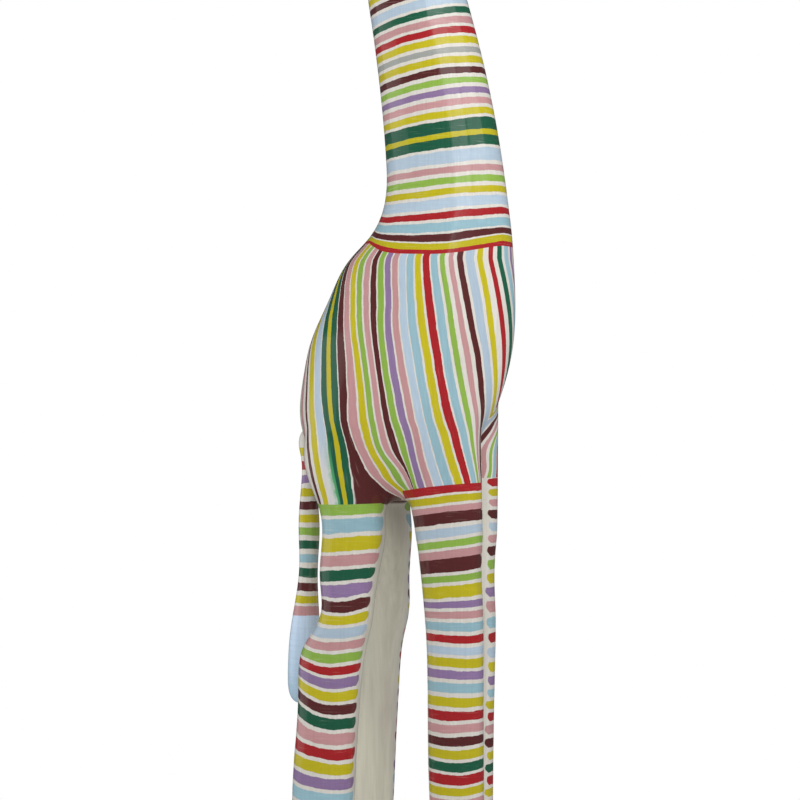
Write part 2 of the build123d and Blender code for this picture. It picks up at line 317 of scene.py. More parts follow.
# ---------------------------------------------------------------- node graphs
class Graph:
    """One material's node tree, with short calls that return output sockets."""

    def __init__(self, name):
        self.material = bpy.data.materials.new(name)
        self.material.use_nodes = True
        self.tree = self.material.node_tree
        self.tree.nodes.clear()

    def node(self, kind, inputs=(), **settings):
        made = self.tree.nodes.new(kind)
        for key, value in settings.items():
            setattr(made, key, value)
        for key, value in dict(inputs).items():
            if isinstance(value, bpy.types.NodeSocket):
                self.tree.links.new(value, made.inputs[key])
            else:
                made.inputs[key].default_value = value
        return made

    def math(self, operation, first, second=0.0, third=0.0, clamp=False):
        inputs = {0: first, 1: second, 2: third}
        made = self.node("ShaderNodeMath", inputs, operation=operation, use_clamp=clamp)
        return made.outputs[0]

    def step(self, value, edge, softness):
        """0 below the edge and 1 above it."""
        inputs = {0: value, 1: self.math("SUBTRACT", edge, softness)}
        inputs[2] = self.math("ADD", edge, softness)
        made = self.node("ShaderNodeMapRange", inputs, interpolation_type="SMOOTHSTEP")
        return made.outputs[0]

    def attribute(self, name):
        return self.node("ShaderNodeAttribute", attribute_name=name).outputs["Fac"]

    def position(self):
        return self.node("ShaderNodeTexCoord").outputs["Object"]

    def stretched(self, vector, scale):
        inputs = {"Vector": vector, "Scale": scale}
        return self.node("ShaderNodeMapping", inputs).outputs[0]

    def noise(self, vector, scale, detail=2.0, roughness=0.5):
        inputs = {"Vector": vector, "Scale": scale, "Detail": detail, "Roughness": roughness}
        return self.node("ShaderNodeTexNoise", inputs).outputs["Fac"]

    def random(self, value, salt):
        """A fixed random number from 0 to 1 for each whole value."""
        shifted = self.math("ADD", value, salt)
        inputs = {"W": shifted}
        return self.node("ShaderNodeTexWhiteNoise", inputs, noise_dimensions="1D").outputs[0]

    def mix(self, factor, first, second, blend="MIX"):
        inputs = {"Factor": factor, 6: first, 7: second}
        made = self.node("ShaderNodeMix", data_type="RGBA", blend_type=blend)
        for key, value in inputs.items():
            target = made.inputs[key] if key != "Factor" else made.inputs[0]
            if isinstance(value, bpy.types.NodeSocket):
                self.tree.links.new(value, target)
            else:
                target.default_value = value
        return made.outputs[2]

    def between(self, factor, first, second):
        """A number that goes from first to second as the factor goes from 0 to 1."""
        inputs = {"Value": factor, "To Min": first, "To Max": second}
        return self.node("ShaderNodeMapRange", inputs).outputs[0]

    def ramp(self, factor, colours):
        """Equal steps of constant colour over 0 to 1, as many as the ramp can hold."""
        made = self.node("ShaderNodeValToRGB", {"Fac": factor})
        elements = made.color_ramp.elements
        made.color_ramp.interpolation = "CONSTANT"
        elements[0].position = 0.0
        elements[0].color = colours[0]
        elements.remove(elements[1])
        for index, colour in enumerate(colours[1:], start=1):
            elements.new(index / RAMP_STEPS).color = colour
        return made.outputs["Color"], made.outputs["Alpha"]


def share_of(band):
    return band[2] if len(band) > 2 else USUAL_SHARE


def cell_paint(g, cell, bands):
    """The colour and painted share of a whole-numbered cell, from as many ramps as needed."""
    stops = [linear(band[0], share_of(band)) for band in bands]
    colour = None
    for start in range(0, len(stops), RAMP_STEPS):
        place = g.math("DIVIDE", g.math("ADD", cell, 0.5 - start), RAMP_STEPS)
        next_colour, next_share = g.ramp(place, stops[start:start + RAMP_STEPS])
        if colour is None:
            colour, share = next_colour, next_share
        else:
            reached = g.math("GREATER_THAN", cell, start - 0.5)
            colour = g.mix(reached, colour, next_colour)
            share = g.between(reached, share, next_share)
    return colour, share


def brushed_bands(g, across, bands, streaks, joined=(), steady=1.0, widest_gap=None):
    """Hand-painted bands, one to each whole step of the coordinate, with primer between.

    Returns the paint's colour, how far it covers the primer, and the place inside a band.
    Joined bands have no primer between them, but more of the joining colour. The edges
    wander less where steady is lower.
    """
    spot = g.position()
    drift = g.math("MULTIPLY_ADD", g.noise(spot, 26, 1), SLOW_DRIFT, -SLOW_DRIFT / 2)
    across = g.math("MULTIPLY_ADD", drift, steady, across)
    cell = g.math("FLOOR", across)
    inside = g.math("FRACT", across)
    colour, share = cell_paint(g, cell, bands)
    gap = g.math("MULTIPLY_ADD", share, -0.5, 0.5)
    if widest_gap is not None:
        gap = g.math("MINIMUM", gap, widest_gap)
    edges = []
    for scale in (140, 95):
        ragged = g.math("MULTIPLY_ADD", g.noise(spot, scale, 2, 0.6), FAST_DRIFT, -FAST_DRIFT / 2)
        edges.append(g.math("MULTIPLY_ADD", ragged, steady, gap))
    above_low = g.step(inside, edges[0], EDGE_SOFTNESS)
    high_edge = g.math("SUBTRACT", 1.0, edges[1])
    below_high = g.math("SUBTRACT", 1.0, g.step(inside, high_edge, EDGE_SOFTNESS))
    covered = g.math("MULTIPLY", above_low, below_high)
    shade = g.between(streaks, *STREAK_SHADE)
    tint = g.between(g.random(cell, 0.71), 0.95, 1.05)
    value = g.math("MULTIPLY", shade, tint)
    toned = g.node("ShaderNodeHueSaturation", {"Color": colour, "Value": value})
    colour = toned.outputs[0]
    for first, last, name in joined:
        after = g.math("GREATER_THAN", across, first)
        between = g.math("MULTIPLY", after, g.math("LESS_THAN", across, last))
        filling = g.math("MULTIPLY", between, g.math("SUBTRACT", 1.0, covered))
        colour = g.mix(filling, colour, linear(name))
        covered = g.math("MAXIMUM", covered, between)
    return colour, covered, inside


def paint_surface(g, colour, covered, relief_streaks, painted_shade=1.0):
    """Finishes a painted material: worn primer, satin gloss, brush relief and wood grain.

    A last argument under 1 darkens every colour, as painted shade.
    """
    spot = g.position()
    grain = g.noise(g.stretched(spot, (420, 420, 9)), 1.0, 3, 0.55)
    blotch = g.noise(spot, 14, 3, 0.6)
    dirt = g.noise(g.stretched(spot, (90, 90, 12)), 1.0, 4, 0.65)
    primer = g.mix(g.between(dirt, -0.25, 0.75), linear("primer"), WORN_PRIMER)
    primer = g.mix(g.between(grain, -0.6, 0.6), primer, GRAINY_PRIMER)
    thin = g.step(g.math("MULTIPLY", relief_streaks, g.between(blotch, 0.7, 1.25)), 0.68, 0.10)
    cover = g.math("MULTIPLY", covered, g.math("MULTIPLY_ADD", thin, -0.16, 0.99))
    base = g.mix(cover, primer, colour)
    # The wood grain's tone, times the painted shade passed in.
    grain_tone_and_shade = g.math("MULTIPLY", g.between(grain, 0.90, 1.08), painted_shade)
    toned = g.node("ShaderNodeHueSaturation", {"Color": base, "Value": grain_tone_and_shade})
    rough = g.between(g.noise(spot, 60, 3), 0.30, 0.46)
    rough = g.math("ADD", rough, g.math("MULTIPLY_ADD", covered, -0.06, 0.06))
    height = g.math("MULTIPLY", covered, PAINT_RELIEF)
    height = g.math("MULTIPLY_ADD", relief_streaks, STREAK_RELIEF, height)
    height = g.math("MULTIPLY_ADD", grain, GRAIN_RELIEF, height)
    ribs = g.noise(g.stretched(spot, (250, 250, 5)), 1.0, 2, 0.5)
    height = g.math("MULTIPLY_ADD", ribs, RIB_RELIEF, height)
    height = g.math("MULTIPLY_ADD", g.noise(spot, 22, 2), SWELL_RELIEF, height)
    bump = g.node("ShaderNodeBump", {"Height": height, "Distance": RELIEF_DEPTH, "Strength": 0.9})
    shader = g.node("ShaderNodeBsdfPrincipled", {
        "Base Color": toned.outputs[0],
        "Roughness": rough,
        "Normal": bump.outputs[0],
        "Specular IOR Level": 0.18,
        "Coat Weight": 0.8,
        "Coat Roughness": 0.12,
    })
    output = g.node("ShaderNodeOutputMaterial")
    g.tree.links.new(shader.outputs[0], output.inputs[0])
    return g.material


def ring_streaks(g):
    """Brush streaks that run level, round a neck, leg, tail, ear or horn."""
    return g.noise(g.stretched(g.position(), (34, 34, 620)), 1.0, 3, 0.6)


def flank_streaks(g, across):
    """Brush streaks that run down the flank, along its stripes."""
    height = g.node("ShaderNodeSeparateXYZ", {0: g.position()}).outputs[2]
    place = g.node("ShaderNodeCombineXYZ", {0: g.math("MULTIPLY", across, 6.0)}).outputs[0]
    place_node = place.node
    g.tree.links.new(g.math("MULTIPLY", height, 24.0), place_node.inputs[2])
    return g.noise(place, 1.0, 3, 0.6)


# ---------------------------------------------------------------- meshes
def shown_mesh(obj):
    """The object's mesh with its modifiers applied."""
    graph = bpy.context.evaluated_depsgraph_get()
    return bpy.data.meshes.new_from_object(obj.evaluated_get(graph))


def apply_modifiers(obj):
    mesh = shown_mesh(obj)
    old = obj.data
    obj.modifiers.clear()
    obj.data = mesh
    bpy.data.meshes.remove(old)


def remeshed(node, name, voxel):
    """A fresh, even mesh over one CAD node, which it stands for."""
    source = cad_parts[node]
    obj = bpy.data.objects.new(name, source.data.copy())
    bpy.context.scene.collection.objects.link(obj)
    obj.data.materials.clear()
    modifier = obj.modifiers.new("even", "REMESH")
    modifier.mode = "VOXEL"
    modifier.voxel_size = voxel
    apply_modifiers(obj)
    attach(obj, "root")
    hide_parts(node)
    return obj


def points_of(obj):
    flat = np.empty(len(obj.data.vertices) * 3, np.float32)
    obj.data.vertices.foreach_get("co", flat)
    return flat.reshape(-1, 3).astype(float)


def set_points(obj, points):
    obj.data.vertices.foreach_set("co", points.astype(np.float32).ravel())
    obj.data.update()


def relax(obj, strength, passes):
    """Evens out the surface: each point moves towards its neighbours' mean, by its strength."""
    points = points_of(obj)
    count = len(points)
    ends = np.empty(len(obj.data.edges) * 2, np.int32)
    obj.data.edges.foreach_get("vertices", ends)
    first, second = ends.reshape(-1, 2).T
    degree = np.bincount(first, minlength=count) + np.bincount(second, minlength=count)
    degree = np.maximum(degree, 1)
    for _ in range(passes):
        for axis in range(3):
            line = points[:, axis]
            total = np.bincount(first, line[second], count)
            total += np.bincount(second, line[first], count)
            points[:, axis] += strength * (total / degree - line)
    set_points(obj, points)


def store(obj, name, values):
    layer = obj.data.attributes.new(name, "FLOAT", "POINT")
    layer.data.foreach_set("value", np.asarray(values, np.float32))


def smooth_shaded(obj):
    obj.data.polygons.foreach_set("use_smooth", [True] * len(obj.data.polygons))


def ramp_weight(values, low, high):
    """0 at low and 1 at high, straight between."""
    return np.clip((values - low) / (high - low), 0, 1)


def band_coordinate(distance, bands):
    """The band number at a distance from the first band's edge, with a fraction inside it."""
    edges = np.concatenate([[0], np.cumsum([band[1] for band in bands])]) / 1000
    whole = np.arange(len(bands) + 1)
    before = distance / (edges[1] - edges[0])
    return np.where(distance < 0, before, np.interp(distance, edges, whole))


def section_table(points, heights, columns):
    """Lowest and highest of each column among the points near each height."""
    rows = []
    for height in heights:
        near = np.abs(points[:, 2] - height) < SECTION_BAND
        picked = columns[near]
        rows.append(np.concatenate([picked.min(0), picked.max(0)]))
    return np.array(rows)


def smooth_line(x, knots):
    """A smooth curve through the knots, level beyond its ends."""
    places, values = np.array(sorted(knots), float).T
    slopes = np.gradient(values, places)
    x = np.clip(x, places[0], places[-1])
    index = np.clip(np.searchsorted(places, x, side="right") - 1, 0, len(places) - 2)
    span = places[index + 1] - places[index]
    share = (x - places[index]) / span
    start = (1 + 2 * share) * (1 - share) ** 2 * values[index]
    start += share * (1 - share) ** 2 * span * slopes[index]
    end = share ** 2 * (3 - 2 * share) * values[index + 1]
    end += share ** 2 * (share - 1) * span * slopes[index + 1]
    return start + end


# ---------------------------------------------------------------- the painted body's coordinates
def neck_coordinates(obj, points):
    """Rings up the neck, square to its axis, and the height over the ring at its base."""
    x, _, z = points.T
    low_x, high_x = section_table(points, NECK_SECTIONS, points[:, :1]).T
    centres = (low_x + high_x) / 2
    half = np.interp(z, NECK_SECTIONS, (high_x - low_x) / 2)
    lean = np.interp(z, NECK_SECTIONS, np.gradient(centres, NECK_SECTIONS))
    above = ramp_weight(z, SQUARE_FROM, SQUARE_FROM + 0.04)
    lean = lean * above + smooth_line(z, NECK_TILT) * (1 - above)
    ahead = x - np.interp(z, NECK_SECTIONS, centres)
    sideways = 1 - np.abs(np.clip(ahead / half, -1, 1)) ** np.where(ahead < 0, 4, 2)
    distance = z + ahead * lean + smooth_line(z, NECK_SAG) * sideways - NECK_BASE
    distance += smooth_line(z, NECK_FRONT_DROP) * np.clip(ahead / half, 0, 1) ** 2
    store(obj, "neck_edge", distance)
    store(obj, "neck_band", band_coordinate(distance, NECK_BANDS))


def flank_coordinates(obj, points):
    """The stripe number round the trunk, the same on both sides of the animal."""
    aside = np.abs(points[:, 1])
    columns = np.stack([points[:, 0], aside], 1)
    low_x, _, high_x, high_y = section_table(points, TRUNK_SECTIONS, columns).T
    z = points[:, 2]
    centre = np.interp(z, TRUNK_SECTIONS, (low_x + high_x) / 2)
    half_length = np.interp(z, TRUNK_SECTIONS, (high_x - low_x) / 2)
    half_width = np.interp(z, TRUNK_SECTIONS, high_y)
    angle = np.degrees(np.arctan2(aside / half_width, (points[:, 0] - centre) / half_length))
    turn = smooth_line(z, CHEST_TURN)
    fold = np.maximum(turn, 0)
    beyond = (angle - fold) * (180 + turn) / (180 - fold) - turn
    left = np.where(angle < fold, -angle, beyond)
    angle = np.where(points[:, 1] > 0, left, angle)
    places = [place for place, *_ in FLANK_GUIDES]
    guides = [smooth_line(z * 1000, knots) for _, *knots in FLANK_GUIDES]
    stripe = np.full(len(points), float(places[0]))
    turn_per_stripe = np.ones(len(points))
    for index in range(len(guides) - 1):
        low, high = guides[index], guides[index + 1]
        share = np.clip((angle - low) / (high - low), 0, 1)
        step = places[index + 1] - places[index]
        stripe += share * step
        turn_per_stripe = np.where((share > 0) & (share < 1), (high - low) / step, turn_per_stripe)
    reach = np.hypot(points[:, 0] - centre, aside)
    store(obj, "flank_stripe", stripe)
    store(obj, "flank_width", np.radians(turn_per_stripe) * reach)


def leg_coordinates(obj, points):
    """Rings down each leg, and how far round to the leg's inner face a point lies."""
    x, y, z = points.T
    band = np.zeros(len(points))
    edge = np.full(len(points), -1.0)
    inward = np.zeros(len(points))
    arch_shadow = np.zeros(len(points))
    for hind in (False, True):
        for side in (-1, 1):
            mine = ((x < 0) == hind) & (y * side > 0)
            mine &= z < LEG_TOP + LEG_REACH
            leg = points[mine]
            height = leg[:, 2]
            columns = np.stack([leg[:, 0], np.abs(leg[:, 1])], 1)
            low_x, low_y, high_x, high_y = section_table(leg, LEG_SECTIONS, columns).T
            ahead = leg[:, 0] - np.interp(height, LEG_SECTIONS, (low_x + high_x) / 2)
            half = np.interp(height, LEG_SECTIONS, (high_x - low_x) / 2)
            sideways = 1 - np.clip(ahead / half, -1, 1) ** 2
            tilt, sag = (HIND_TILT, HIND_SAG) if hind else (FRONT_TILT, FRONT_SAG)
            bands, top = LEG_BANDS[hind, side]
            lift = height + ahead * smooth_line(height, tilt) + sideways * smooth_line(height, sag)
            distance = top - lift
            band[mine] = band_coordinate(distance, bands)
            middle = np.interp(leg[:, 2], LEG_SECTIONS, (low_y + high_y) / 2)
            half = np.interp(leg[:, 2], LEG_SECTIONS, (high_y - low_y) / 2)
            inward[mine] = (middle - np.abs(leg[:, 1])) / half + BRUSH_SHIFT[hind, side]
            if hind and side > 0:
                inward[mine] -= 0.5 * ramp_weight(height, 0.64, 0.69)
            elif hind:
                inward[mine] += smooth_line(height, HIND_SHORTER)
            reach = -leg[:, 0] - HIND_LEG_FROM if hind else leg[:, 0] - FRONT_LEG_FROM
            above = leg[:, 2] > LEG_TOP - 0.004
            own = np.where(above, np.minimum(distance, reach), np.maximum(distance, 0.002))
            edge[mine] = own
            if hind:
                # Where the painted shadow of the arched underside falls, above the inner faces.
                over = ramp_weight(height, ARCH_LOW - 0.010, ARCH_LOW + 0.002)
                over *= 1 - ramp_weight(height, ARCH_HIGH, ARCH_HIGH + 0.008)
                over *= ramp_weight(leg[:, 0], ARCH_BACK, ARCH_BACK + 0.015)
                arch_shadow[mine] = over * ramp_weight(inward[mine], 0.10, 0.25)
                edge[mine] = np.where(arch_shadow[mine] > 0.5, -0.01, own)
    store(obj, "leg_band", band)
    store(obj, "leg_edge", edge)
    store(obj, "leg_inward", inward)
    store(obj, "arch_shadow", arch_shadow)
    store(obj, "hind", (x < 0).astype(float))


def head_coordinates(obj, points):
    """Rings along the head, and the height over the jaw line that divides head and neck."""
    along = (points - np.array(SKULL)) @ np.array(HEAD_FORWARD)
    store(obj, "head_band", band_coordinate(along + BACK_OF_HEAD, HEAD_BANDS))
    store(obj, "head_edge", (points - np.array(JAW_POINT)) @ np.array(JAW_NORMAL))


def carved_skin():
    """The trunk, neck, head and legs as one smooth carved surface."""
    voxel = FINE_VOXEL
    obj = remeshed("carved_body", "carved_and_painted_body", voxel)
    relax(obj, 0.5, 4)
    z = points_of(obj)[:, 2]
    crease = ramp_weight(z, CREASE_LOW, CREASE_LOW + 0.04)
    crease *= ramp_weight(-z, -CREASE_HIGH, -CREASE_FULL_BELOW)
    passes = CREASE_PASSES
    relax(obj, 0.6 * crease, passes)
    points = points_of(obj)
    neck_coordinates(obj, points)
    flank_coordinates(obj, points)
    leg_coordinates(obj, points)
    head_coordinates(obj, points)
    smooth_shaded(obj)
    obj.data.materials.append(body_paint())
    return obj


# ---------------------------------------------------------------- materials
def head_features(g, colour, covered):
    """Eyes, nostrils and mouth, painted by their distance from each feature's place."""
    spot = g.position()
    start = g.node("ShaderNodeVectorMath", {0: spot, 1: SKULL}, operation="SUBTRACT").outputs[0]
    forward = g.node("ShaderNodeVectorMath", {0: start, 1: HEAD_FORWARD}, operation="DOT_PRODUCT")
    upward = g.node("ShaderNodeVectorMath", {0: start, 1: HEAD_UP}, operation="DOT_PRODUCT")
    along = forward.outputs["Value"]
    rise = upward.outputs["Value"]
    aside = g.math("ABSOLUTE", g.node("ShaderNodeSeparateXYZ", {0: spot}).outputs[1])
    local = g.node("ShaderNodeCombineXYZ", {0: along, 1: rise, 2: aside}).outputs[0]
    wobble = g.math("MULTIPLY_ADD", g.noise(spot, 220, 2), 0.0012, -0.0006)

    def distance(place):
        gap = g.node("ShaderNodeVectorMath", {0: local, 1: place}, operation="DISTANCE")
        return g.math("ADD", gap.outputs["Value"], wobble)

    from_eye = distance(EYE)
    on_head = g.step(g.attribute("head_edge"), 0.0, 0.0004)
    for radius, name in EYE_RINGS:
        near = g.math("MULTIPLY", on_head, g.math("SUBTRACT", 1.0, g.step(from_eye, radius, 0.0004)))
        colour = g.mix(near, colour, linear(name))
        covered = g.math("MAXIMUM", covered, near)
    near = g.math("SUBTRACT", 1.0, g.step(distance(NOSTRIL), NOSTRIL_RADIUS, 0.0005))
    colour = g.mix(near, colour, linear("maroon"))
    off_line = g.math("ABSOLUTE", g.math("SUBTRACT", rise, MOUTH_RISE))
    off_line = g.math("ADD", off_line, wobble)
    lips = g.math("SUBTRACT", 1.0, g.step(off_line, LIP_HALF_HEIGHT, 0.0004))
    lips = g.math("MULTIPLY", lips, g.step(along, MOUTH_START, 0.002))
    lips = g.math("MULTIPLY", lips, on_head)
    colour = g.mix(lips, colour, linear("maroon"))
    covered = g.math("MAXIMUM", covered, g.math("MAXIMUM", near, lips))
    return colour, covered


def smeared_green(g, stripe, colour, covered):
    """A green stripe's edge, dragged over the pale stripe behind it low on the haunch."""
    spot = g.position()
    height = g.node("ShaderNodeSeparateXYZ", {0: spot}).outputs[2]
    low = g.math("SUBTRACT", 1.0, g.step(height, SMEAR_TOP, 0.035))
    wander = g.math("MULTIPLY_ADD", g.noise(spot, 90, 3, 0.6), 0.9, -0.45)
    place = g.math("ADD", stripe, wander)
    behind = g.math("MULTIPLY", low, g.math("SUBTRACT", 1.0, g.step(place, 29.15, 0.35)))
    smear = g.math("MULTIPLY", behind, g.step(stripe, 28.5, 0.12))
    fading = g.math("MULTIPLY", low, g.step(stripe, 28.9, 0.2))
    fading = g.math("MULTIPLY", fading, g.math("LESS_THAN", stripe, 29.95))
    colour = g.mix(g.math("MULTIPLY", fading, 0.75), colour, linear("primer"))
    colour = g.mix(g.math("MULTIPLY", smear, 0.85), colour, linear("smear"))
    return colour, g.math("MAXIMUM", covered, smear)


def body_paint():
    """Flank stripes, neck rings, leg bands with round brush ends, and the painted head."""
    g = Graph("painted_body")
    spot = g.position()
    stripe = g.attribute("flank_stripe")
    down = flank_streaks(g, stripe)
    level = ring_streaks(g)
    width = g.attribute("flank_width")
    from_middle = g.math("ABSOLUTE", g.math("SUBTRACT", stripe, MIDDLE_STRIPE))
    loose = g.math("GREATER_THAN", from_middle, TIGHT_REACH)
    widest_gap = g.math("ADD", g.math("DIVIDE", THIN_GAP, width), loose)
    steady = g.math("MINIMUM", g.math("DIVIDE", STEADY_WIDTH, width), 0.8)
    colour, covered, _ = brushed_bands(g, stripe, FLANK_BANDS, down, FLANK_JOINED, steady, widest_gap)
    colour, covered = smeared_green(g, stripe, colour, covered)

    on_neck = g.step(g.attribute("neck_edge"), 0.0, 0.0003)
    neck_colour, neck_cover, _ = brushed_bands(g, g.attribute("neck_band"), NECK_BANDS, level, NECK_JOINED)
    colour = g.mix(on_neck, colour, neck_colour)
    covered = g.between(on_neck, covered, neck_cover)

    on_head = g.step(g.attribute("head_edge"), 0.0, 0.0003)
    head_colour, head_cover, _ = brushed_bands(g, g.attribute("head_band"), HEAD_BANDS, level)
    colour = g.mix(on_head, colour, head_colour)
    covered = g.between(on_head, covered, head_cover)

    band = g.attribute("leg_band")
    inward = g.attribute("leg_inward")
    hind = g.attribute("hind")
    on_leg = g.step(g.attribute("leg_edge"), 0.0, 0.0004)
    front_colour, leg_cover, inside = brushed_bands(g, band, FRONT_BANDS, level, FRONT_JOINED)
    left_colour, left_cover, _ = brushed_bands(g, band, LEFT_FRONT_BANDS, level)
    on_left = g.math("GREATER_THAN", g.node("ShaderNodeSeparateXYZ", {0: spot}).outputs[1], 0.0)
    front_colour = g.mix(on_left, front_colour, left_colour)
    leg_cover = g.between(on_left, leg_cover, left_cover)
    hind_colour, hind_cover, _ = brushed_bands(g, band, HIND_BANDS, level, HIND_JOINED)
    leg_colour = g.mix(hind, front_colour, hind_colour)
    leg_cover = g.between(hind, leg_cover, hind_cover)
    off_middle = g.math("ABSOLUTE", g.math("MULTIPLY_ADD", inside, 2.0, -1.0))
    rounding = g.math("MULTIPLY", g.math("POWER", off_middle, 3.0), -END_ROUNDING)
    lower_corner = g.math("MULTIPLY", g.step(inside, 0.72, 0.30), -LOWER_CORNER)
    own_reach = g.between(g.random(g.math("FLOOR", band), 0.13), -END_SPREAD, END_SPREAD)
    rounding = g.math("ADD", rounding, g.math("ADD", lower_corner, own_reach))
    stripe_end = g.math("ADD", g.between(hind, *BAND_END), rounding)
    past_end = g.step(inward, stripe_end, 0.03)
    leg_cover = g.math("MULTIPLY", leg_cover, g.math("SUBTRACT", 1.0, past_end))
    wash = inner_wash(g, spot)
    leg_colour = g.mix(past_end, leg_colour, wash)
    colour = g.mix(on_leg, colour, leg_colour)
    covered = g.between(on_leg, covered, leg_cover)

    colour, covered = head_features(g, colour, covered)

    normal = g.node("ShaderNodeNewGeometry").outputs["Normal"]
    facing = g.node("ShaderNodeSeparateXYZ", {0: normal}).outputs[2]
    height = g.node("ShaderNodeSeparateXYZ", {0: spot}).outputs[2]
    below = g.step(g.math("MULTIPLY", facing, -1.0), 0.80, 0.06)
    below = g.math("MULTIPLY", below, g.math("LESS_THAN", height, WASH_TOP))
    on_inner = g.step(inward, g.between(hind, *WASH_START), 0.10)
    on_inner = g.math("MULTIPLY", on_inner, g.step(g.attribute("leg_edge"), 0.0, 0.003))
    bare = g.math("MAXIMUM", below, on_inner)
    colour = g.mix(bare, colour, wash)
    # Painted shadow: dark maroon over the arched underside above the hind legs' inner faces.
    arch_shadow = g.step(g.attribute("arch_shadow"), 0.3, 0.15)
    colour = g.mix(arch_shadow, colour, linear("arch_shadow"))
    covered = g.math("MAXIMUM", covered, g.math("MAXIMUM", bare, arch_shadow))
    streaks = g.between(on_leg, g.between(on_neck, down, level), level)
    # Painted shade: colours darken from the lower trunk down to the upper legs and stay darker below, for
    # the lower light there.
    painted_shade = g.between(g.step(height, 0.76, 0.14), LEG_PAINTED_SHADE, 1.0)
    return paint_surface(g, colour, covered, streaks, painted_shade)


def inner_wash(g, spot):
    """The thin grey-white wash that was brushed up and down the legs' inner faces, with pinkish patches of
    painted reflection from the coloured bands.
    """
    brushed = g.noise(g.stretched(spot, (160, 160, 7)), 1.0, 4, 0.6)
    patches = g.noise(g.stretched(spot, (18, 18, 5)), 1.0, 2, 0.5)
    wash = g.mix(g.between(brushed, 0.0, 1.0), linear("inner"), WASH_DARK)
    # Painted reflection: pinkish patches for light bounced off the coloured bands.
    pink_reflection = g.math("MULTIPLY", g.step(patches, 0.58, 0.12), 0.5)
    return g.mix(pink_reflection, wash, REFLECTED_PINK_TONE)


def banded_paint(name, bands, joined=()):
    """Paint for a small part that is banded along its length, and duller to its last band's end."""
    g = Graph(name)
    level = ring_streaks(g)
    band = g.attribute("band")
    colour, covered, inside = brushed_bands(g, band, bands, level, joined)
    on_last = g.math("GREATER_THAN", band, len(bands) - 1.0)
    dulled = g.mix(1.0, colour, END_DULL, "MULTIPLY")
    colour = g.mix(g.math("MULTIPLY", on_last, inside), colour, dulled)
    return paint_surface(g, colour, covered, level)


def ear_paint():
    """Bands on the ear's back, and a plain pink hollow."""
    g = Graph("painted_ear")
    level = g.noise(g.stretched(g.position(), (300, 34, 300)), 1.0, 3, 0.6)
    colour, covered, _ = brushed_bands(g, g.attribute("band"), EAR_BANDS, level)
    hollow = g.step(g.attribute("hollow"), 0.5, 0.1)
    colour = g.mix(hollow, colour, linear("pink"))
    covered = g.math("MAXIMUM", covered, hollow)
    return paint_surface(g, colour, covered, level)


def bare_wood():
    """Pale brown dowel wood with fine grain along X."""
    g = Graph("bare_dowel")
    grain = g.noise(g.stretched(g.position(), (20, 500, 500)), 1.0, 4, 0.6)
    tone = g.mix(grain, DARK_WOOD, LIGHT_WOOD)
    bump = g.node("ShaderNodeBump", {"Height": grain, "Distance": 0.0004, "Strength": 0.5})
    rough = g.between(grain, 0.45, 0.7)
    inputs = {"Base Color": tone, "Roughness": rough, "Normal": bump.outputs[0]}
    shader = g.node("ShaderNodeBsdfPrincipled", inputs)
    output = g.node("ShaderNodeOutputMaterial")
    g.tree.links.new(shader.outputs[0], output.inputs[0])
    return g.material


# ---------------------------------------------------------------- small parts
def painted_tail():
    """The tail, banded down to a plain tuft."""
    obj = remeshed("tail", "banded_tail", TAIL_VOXEL)
    relax(obj, 0.5, 4)
    points = points_of(obj)
    store(obj, "band", band_coordinate(np.maximum(TAIL_TOP - points[:, 2], 0), TAIL_BANDS))
    smooth_shaded(obj)
    obj.data.materials.append(banded_paint("painted_tail", TAIL_BANDS, TAIL_JOINED))


def painted_ear(side, material):
    """An ear: banded behind, pink in its hollow."""
    node = f"{side}_ear"
    obj = remeshed(node, f"{side}_painted_ear", SMALL_VOXEL)
    relax(obj, 0.5, 3)
    points = points_of(obj)
    low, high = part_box(node)
    turn = 1 if side == "left" else -1
    along = np.abs(points[:, 1]) - min(abs(low.y), abs(high.y))
    store(obj, "band", band_coordinate(along, EAR_BANDS))
    normals = np.empty(len(points) * 3, np.float32)
    obj.data.vertex_normals.foreach_get("vector", normals)
    forward = normals.reshape(-1, 3)[:, 0] * 0.9 + turn * normals.reshape(-1, 3)[:, 1] * 0.35
    store(obj, "hollow", ramp_weight(forward, 0.2, 0.7))
    smooth_shaded(obj)
    obj.data.materials.append(material)


def painted_horn(side, material):
    """A horn: banded, with a dark knob."""
    node = f"{side}_horn"
    obj = remeshed(node, f"{side}_painted_horn", SMALL_VOXEL)
    relax(obj, 0.5, 3)
    points = points_of(obj)
    low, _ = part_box(node)
    store(obj, "band", band_coordinate(points[:, 2] - low.z, HORN_BANDS))
    smooth_shaded(obj)
    obj.data.materials.append(material)


# ---------------------------------------------------------------- studio
CAMERA_AZIMUTH = math.radians(20)
CAMERA_DISTANCE = 2.9
EYE_LEVEL = 0.80
PICTURE_WIDTH = 1.024
SUBJECT_SHIFT = 0.0115
DIM_REFLECTION = 0.06
SURROUND_LIGHT = 0.82
AIM_HEIGHT = 0.95
CAMERA_SHIFT = (-0.009, 0.031)
FLOOR_RADIUS = 30
# Soft boxes: name, azimuth in degrees, height, distance, width, height of the box, and watts.
SOFT_BOXES = (
    ("right_strip", 41, 2.58, 2.2, 1.45, 1.5, 16),
    ("right_box", 80, 2.58, 2.2, 1.7, 1.5, 11),
    ("left_box", -75, 0.9, 2.6, 2.2, 1.6, 7),
)


